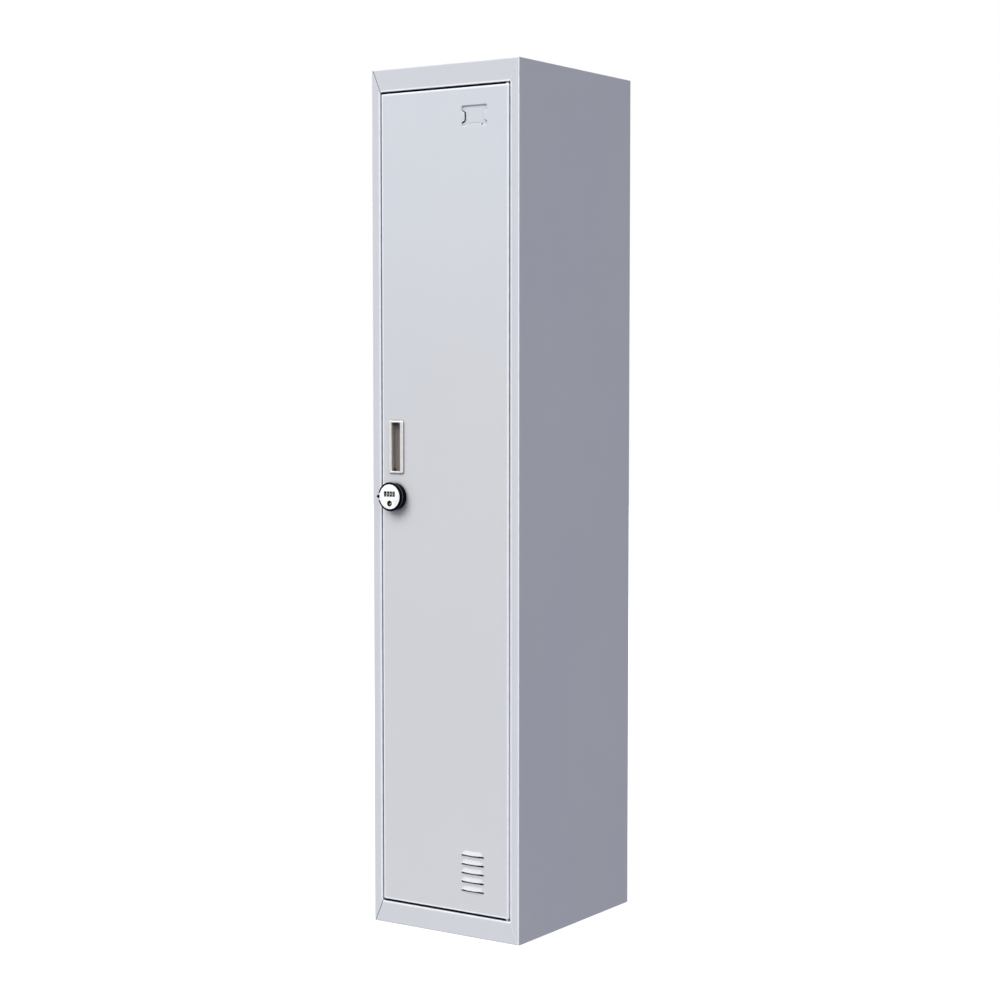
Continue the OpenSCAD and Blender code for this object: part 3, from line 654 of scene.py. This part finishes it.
def label_tabs():
    place = Matrix((
        (1, 0, 0, LABEL.x), (0, 0, -1, FRONT + SHEET / 2 + 0.02), (0, 1, 0, LABEL.y), (0, 0, 0, 1)))
    bm = bmesh.new()
    for outline in tab_outlines(0):
        add_part(bm, flat_curve("tab", [outline], place, SHEET, 0.2))
    return bm


face = finish_mesh("door_face_sheet", door_face(), door_paint, "door", "door_panel", "door_paint", angle=50)
if face.data.polygons[0].normal.y > 0:
    face.data.flip_normals()
thicken(face, SHEET * MM)
rim = finish_mesh("door_folded_rim", door_rim(), door_paint, "door", "door_panel", "door_paint")
thicken(rim, SHEET * MM)
finish_mesh("label_tabs", label_tabs(), door_paint, "door", "door_panel", "door_paint")


# ---- Pull handle -----------------------------------------------------------

MOUTH_WIDE, MOUTH_TALL, MOUTH_R = 22.5, 104.5, 2.2
TRIM_R, OUTER_R, INNER_R = 4.0, 2.4, 1.2  # corner, and roundings of the outer and inner front edges
CUP_WIDE, CUP_TALL = 33, 109    # the cup outside, behind the door
CUP_IN, CUP_FLOOR_R = 28, 3.0   # width inside the cup, and rounding of its floor


def pull_loop(wide, tall, r, y):
    """A rounded rectangle round the pull's centre, at a depth."""
    return [(x, y, z) for x, z in rectangle(PULL.x, PULL.z, wide, tall, r, steps=6)]


def pull_trim():
    """The bright frame, rounded along its front edges."""
    front, back = trim_low.y, trim_high.y
    loops = [pull_loop(PULL_WIDE, PULL_TALL, TRIM_R, y) for y in (back, back - 0.5)]
    for a in quarter(6):
        inset = OUTER_R * (1 - math.cos(a))
        y = front + OUTER_R * (1 - math.sin(a))
        loops.append(pull_loop(PULL_WIDE - 2 * inset, PULL_TALL - 2 * inset, TRIM_R - inset, y))
    for a in quarter(4):
        inset = INNER_R * (1 - math.sin(a))
        y = front + INNER_R * (1 - math.cos(a))
        loops.append(pull_loop(MOUTH_WIDE + 2 * inset, MOUTH_TALL + 2 * inset, MOUTH_R + inset, y))
    loops.append(pull_loop(MOUTH_WIDE, MOUTH_TALL, MOUTH_R, back))
    bm = bmesh.new()
    loft(bm, loops, ring=True)
    return bm


def pull_cup():
    """The finger cup with its flange, outside and inside."""
    back = trim_high.y
    loops = [pull_loop(CUP_WIDE, CUP_TALL, 3, y) for y in (cup_back, FRONT)]
    loops += [pull_loop(PULL_WIDE - 0.8, PULL_TALL - 0.8, 3.6, y) for y in (FRONT, back)]
    loops += [pull_loop(MOUTH_WIDE, MOUTH_TALL, MOUTH_R, y) for y in (back, FRONT + 3.6)]
    loops.append(pull_loop(CUP_IN, MOUTH_TALL, MOUTH_R, FRONT + 4.4))
    for a in quarter(4):
        inset = CUP_FLOOR_R * (1 - math.cos(a))
        r = max(0.5, 2.4 - inset * 0.4)
        y = cup_back - 5 + CUP_FLOOR_R * math.sin(a)
        loops.append(pull_loop(CUP_IN - 2 * inset, MOUTH_TALL - 2 * inset, r, y))
    bm = bmesh.new()
    loft(bm, loops, cap_start=True, cap_end=True)
    return bm


finish_mesh("pull_trim_frame", pull_trim(), nickel, "door", "pull_trim", "satin_nickel")
finish_mesh("pull_cup_shell", pull_cup(), cup_paint, "door", "pull_cup", "cup_plastic")


# ---- Lock ------------------------------------------------------------------
# Profiles are (radius, height, rounding), with heights from the door's face, outwards.

AXIS = Vector(joints["lock_turn"]["pos_m"]) * PER_METRE
LOCK = Matrix.Translation(AXIS) @ Matrix.Rotation(math.radians(90), 4, "X")
BASE_R, BASE_BORE, BASE_TALL, BASE_FLOOR = 28.6, 25.3, 11.0, 1.6
BARREL_R, BARREL_BORE, BARREL_END = 9.5, 5.05, -21.0
SKIRT_R, SKIRT_LOW, STEM_R, STEM_END = 28.8, 11.5, 5.0, -23.0
HUB_R, HUB_LOW = 24.5, 2.0
RING_R, RING_LOW, RING_HIGH = 31.4, 18.0, 22.5
NIB_R, NIB_OUT = 2.7, 32.6
FACE, FACE_R, FACE_THICK = 22.7, 26.6, 0.8
PITCH, WHEEL_Y, WHEEL_Z, WHEEL_R, WHEEL_W = 7.5, 6.0, 14.4, 8.6, 4.6
NOTCHES, NOTCH_DEEP, NOTCH_WIDE = 10, 0.55, 3.2
WINDOW_TALL, FRAME_WIDE, FRAME_TALL, FRAME_THICK = 9.0, 6.0, 11.4, 0.5
PLUG_Y, PLUG_R = -14.5, 6.3
wheel_places = [(i - 1.5) * PITCH for i in range(4)]
windows = [rectangle(x, WHEEL_Y, WHEEL_W + 0.4, WINDOW_TALL, 0.3) for x in wheel_places]


def turned(*profiles, segments=96):
    """Solids turned about the lock's axis, as one bmesh."""
    bm = bmesh.new()
    for profile in profiles:
        lathe(bm, profile, LOCK, segments)
    return bm


def lock_base():
    """The fixed housing: a shallow cup with the barrel behind it."""
    return turned(fillet([
        (BASE_BORE - 0.4, BASE_FLOOR, 0), (BASE_BORE, BASE_FLOOR, 0), (BASE_BORE, BASE_TALL, 0.5),
        (BASE_R, BASE_TALL, 1.4), (BASE_R, 0.0, 0), (BARREL_R, 0.0, 0), (BARREL_R, BARREL_END, 0.5),
        (BARREL_BORE, BARREL_END, 0.3), (BARREL_BORE, BASE_FLOOR, 0), (BASE_BORE - 0.4, BASE_FLOOR, 0),
    ]))


def lock_ring():
    """The knob's rim, with the nib that points at the stile."""
    bm = turned(fillet([
        (FACE_R + 0.1, FACE - FACE_THICK, 0), (FACE_R + 0.1, RING_HIGH, 0.2), (RING_R, RING_HIGH, 2.4),
        (RING_R, RING_LOW, 1.4), (SKIRT_R, RING_LOW, 0.2), (SKIRT_R - 0.1, RING_LOW - 0.4, 0),
    ], steps=6), segments=128)
    nib = fillet([
        (0.0, RING_HIGH - 0.6, 0), (NIB_R, RING_HIGH - 0.6, 0.8), (NIB_R, RING_LOW + 0.1, 0.8),
        (0.0, RING_LOW + 0.1, 0)])
    lathe(bm, nib, LOCK @ Matrix.Translation((-NIB_OUT, 0, 0)), segments=32)
    return bm


def lock_skirt():
    """The knob's side, the hub inside the housing and the stem that carries the cam."""
    return turned(fillet([
        (SKIRT_R - 0.2, RING_LOW + 0.1, 0), (SKIRT_R, RING_LOW, 0), (SKIRT_R, SKIRT_LOW, 0.8),
        (HUB_R, SKIRT_LOW, 0.3), (HUB_R, HUB_LOW, 0.6), (STEM_R, HUB_LOW, 0.3), (STEM_R, STEM_END, 0),
    ]))


def lock_well():
    """The dark floor and wall behind the windows."""
    return turned([
        (0.0, HUB_LOW + 0.7), (HUB_R - 0.5, HUB_LOW + 0.7), (HUB_R - 0.5, FACE - FACE_THICK - 0.1),
        (FACE_R - 0.1, FACE - FACE_THICK - 0.1)], segments=64)


def face_plate():
    outlines = [circle(0, 0, FACE_R, 96), *windows, circle(0, PLUG_Y, PLUG_R + 0.05, 48)]
    place = LOCK @ Matrix.Translation((0, 0, FACE - FACE_THICK / 2))
    return flat_curve("plate", outlines, place, FACE_THICK, 0.15)


def window_frames():
    outlines = [rectangle(x, WHEEL_Y, FRAME_WIDE, FRAME_TALL, 0.6) for x in wheel_places]
    place = LOCK @ Matrix.Translation((0, 0, FACE + 0.22))
    return flat_curve("frames", outlines + windows, place, FRAME_THICK, 0.12)


def wheel_body(x):
    """A code wheel with a finger notch between every two figures."""
    step, side = 360 / NOTCHES, WHEEL_W / 2
    loops = []
    for offset, drop in ((-side, 0.5), (-side + 0.35, 0), (side - 0.35, 0), (side, 0.5)):
        loop = []
        for k in range(120):
            a = 2 * math.pi * k / 120
            from_figure = abs((math.degrees(a) + step / 2) % step - step / 2)
            notch = NOTCH_DEEP * smooth(1 - abs(from_figure - step / 2) / NOTCH_WIDE)
            r = WHEEL_R - drop - notch
            loop.append(LOCK @ Vector((x + offset, WHEEL_Y + r * math.sin(a), WHEEL_Z + r * math.cos(a))))
        loops.append(loop)
    bm = bmesh.new()
    loft(bm, loops, cap_start=True, cap_end=True)
    return bm


def figure(digit, x, turn):
    """One figure, laid on the wheel's rim."""
    font = bpy.data.curves.new("figure", "FONT")
    font.body = str(digit)
    font.size = 3.9
    font.align_x = "CENTER"
    font.align_y = "CENTER"
    font.extrude = 0.05
    font.offset = 0.07
    place = LOCK @ Matrix.Translation((x, WHEEL_Y, WHEEL_Z)) @ Matrix.Rotation(turn, 4, "X")
    return curve_to_bmesh(font, place @ Matrix.Translation((0, 0, WHEEL_R - 0.02)))


def wheel_figures(x, shown):
    bm = bmesh.new()
    for digit in range(10):
        add_part(bm, figure(digit, x, math.radians(36 * (digit - shown))))
    return bm


def plug_core(place):
    bm = bmesh.new()
    lathe(bm, fillet([
        (0.0, -1.6, 0), (3.4, -1.6, 0.3), (4.2, 0.1, 0.4), (5.6, 0.25, 0.4), (PLUG_R, 0.1, 0.2),
        (PLUG_R, -12.0, 0),
    ]), place, segments=48)
    return bm


def plug_wards(place):
    """A bright brass piece set askew in the keyway: a painted glint that stands in for the reflection on the plug.
    """
    place = place @ Matrix.Translation((1.2, -0.9, -0.9)) @ Matrix.Rotation(math.radians(-38), 4, "Z")
    return flat_curve("wards", [rectangle(0, 0, 1.7, 4.2, 0.4)], place, 1.4, 0.2)


def index_mark(side):
    """A white mark on the ring, beside the nib."""
    turn = Matrix.Rotation(math.radians(180 + 11.5 * side), 4, "Z")
    place = LOCK @ turn @ Matrix.Translation((28.0, 0, RING_HIGH - 0.02))
    return flat_curve("mark", [rectangle(0, 0, 2.2, 4.0, 0.5)], place, 0.12, 0.02)


finish_mesh("lock_base", lock_base(), gloss_black, "door", "lock_housing", "lock_black")
finish_mesh("lock_ring", lock_ring(), gloss_black, "lock", "lock_knob", "lock_black")
finish_mesh("lock_skirt", lock_skirt(), skirt_sheen_grey, "lock", "lock_knob", "lock_black")
finish_mesh("lock_face_plate", face_plate(), face_white, "lock", "lock_face", "lock_face")
finish_mesh("window_frame_set", window_frames(), wheel_black, "lock", "window_frames", "lock_black")
finish_mesh("lock_inner_well", lock_well(), gloss_black, "lock", "lock_knob", "lock_black")
for number, (x, shown) in enumerate(zip(wheel_places, (1, 0, 0, 1)), start=1):
    names = f"wheel_{number}", f"code_wheel_{number}", "wheel_black"
    finish_mesh(f"wheel_{number}_body", wheel_body(x), wheel_black, *names, angle=40)
    finish_mesh(f"wheel_{number}_figures", wheel_figures(x, shown), figure_white, *names)
PLUG = LOCK @ Matrix.Translation((0, PLUG_Y, FACE))
finish_mesh("key_plug_core", plug_core(PLUG), plug_dark, "key_plug", "key_plug", "brass")
finish_mesh("key_plug_glint_insert", plug_wards(PLUG), brass, "key_plug", "key_plug", "brass")
finish_mesh("index_mark_upper", index_mark(-1), figure_white, "lock", "lock_knob", "lock_face")
finish_mesh("index_mark_lower", index_mark(1), figure_white, "lock", "lock_knob", "lock_face")


# ---- Stage, light and camera ------------------------------------------------

scene = bpy.context.scene


def stage_material(name, tone, glow=0.0):
    """A matt grey that may also glow white."""
    m = bpy.data.materials.new(name)
    m.use_nodes = True
    shader = m.node_tree.nodes["Principled BSDF"]
    shader.inputs["Base Color"].default_value = (tone, tone, tone, 1)
    shader.inputs["Roughness"].default_value = 1.0
    shader.inputs["Specular IOR Level"].default_value = 0.0
    shader.inputs["Emission Color"].default_value = (1, 1, 1, 1)
    shader.inputs["Emission Strength"].default_value = glow
    return m


def stage_object(name, bm, material, unseen):
    """A piece of the stage that some kinds of ray don't see."""
    mesh = bpy.data.meshes.new(name)
    bm.to_mesh(mesh)
    bm.free()
    obj = bpy.data.objects.new(name, mesh)
    scene.collection.objects.link(obj)
    mesh.materials.append(material)
    for ray in unseen:
        setattr(obj, "visible_" + ray, False)
    return obj


def studio_world(below, above):
    """Soft light all round, from a darker colour below the horizon to a lighter one above it."""
    world = bpy.data.worlds.new("Studio")
    world.use_nodes = True
    nodes, links = world.node_tree.nodes, world.node_tree.links
    split = nodes.new("ShaderNodeSeparateXYZ")
    links.new(nodes.new("ShaderNodeTexCoord").outputs["Generated"], split.inputs[0])
    rise = nodes.new("ShaderNodeMapRange")
    rise.inputs["From Min"].default_value = -0.3
    rise.inputs["From Max"].default_value = 0.3
    links.new(split.outputs["Z"], rise.inputs["Value"])
    sky = nodes.new("ShaderNodeMix")
    sky.data_type = "RGBA"
    sky.inputs[6].default_value = (*below, 1)
    sky.inputs[7].default_value = (*above, 1)
    links.new(rise.outputs["Result"], sky.inputs[0])
    links.new(sky.outputs[2], nodes["Background"].inputs["Color"])
    nodes["Background"].inputs["Strength"].default_value = 1.0
    return world


def sun(name, direction, energy, angle):
    light = bpy.data.lights.new(name, "SUN")
    light.energy = energy
    light.angle = math.radians(angle)
    obj = bpy.data.objects.new(name, light)
    scene.collection.objects.link(obj)
    obj.rotation_mode = "QUATERNION"
    obj.rotation_quaternion = Vector(direction).to_track_quat("Z", "Y")
    return light


def aim(obj, place, target):
    obj.location = place
    obj.rotation_mode = "QUATERNION"
    obj.rotation_quaternion = (Vector(target) - Vector(place)).to_track_quat("-Z", "Y")


bm = bmesh.new()
bmesh.ops.create_circle(bm, cap_ends=True, radius=14, segments=96)
unseen = ("diffuse", "glossy", "shadow")
floor = stage_object("floor", bm, stage_material("Pale floor", 0.45, glow=0.80), unseen)
floor.location.z = -0.0005

bm = bmesh.new()
bmesh.ops.create_uvsphere(bm, u_segments=48, v_segments=24, radius=40)
unseen = ("diffuse", "glossy", "transmission", "shadow")
stage_object("backdrop", bm, stage_material("White backdrop", 0.0, glow=1.0), unseen)

# a dark screen on the right, seen only in reflections
bm = bmesh.new()
arc = [math.radians(a) for a in range(-50, 81, 10)]
loft(bm, [[(7 * math.cos(a), 7 * math.sin(a), z) for a in arc] for z in (-3, 6)], close=False)
unseen = ("camera", "diffuse", "transmission", "shadow")
stage_object("dark_screen", bm, stage_material("Dark screen", 0.02), unseen)

scene.view_settings.view_transform = "Standard"
scene.view_settings.look = "None"
scene.world = studio_world((0.28, 0.28, 0.32), (0.79, 0.81, 0.92))

sun("key", (-0.18, -0.74, 0.65), 2.56, 42).color = (1.0, 0.995, 0.93)
sun("back_fill", (-0.20, 0.85, 0.48), 1.1, 30)

strip = bpy.data.lights.new("edge_strip", "AREA")
strip.shape = "RECTANGLE"
strip.size, strip.size_y = 0.4, 3.4
strip.energy = 40
edge_strip = bpy.data.objects.new("edge_strip", strip)
scene.collection.objects.link(edge_strip)
aim(edge_strip, (3.4, -3.0, 1.3), (0.19, -0.225, 0.95))
edge_strip.visible_camera = edge_strip.visible_diffuse = False

camera = bpy.data.cameras.new("camera")
camera.lens = 77.05
camera.sensor_width = 36
camera.clip_start, camera.clip_end = 0.1, 120
view = bpy.data.objects.new("camera", camera)
scene.collection.objects.link(view)
aim(view, (2.6352, -3.9246, 1.2171), (-0.0063, -0.0042, 0.9213))
scene.camera = view
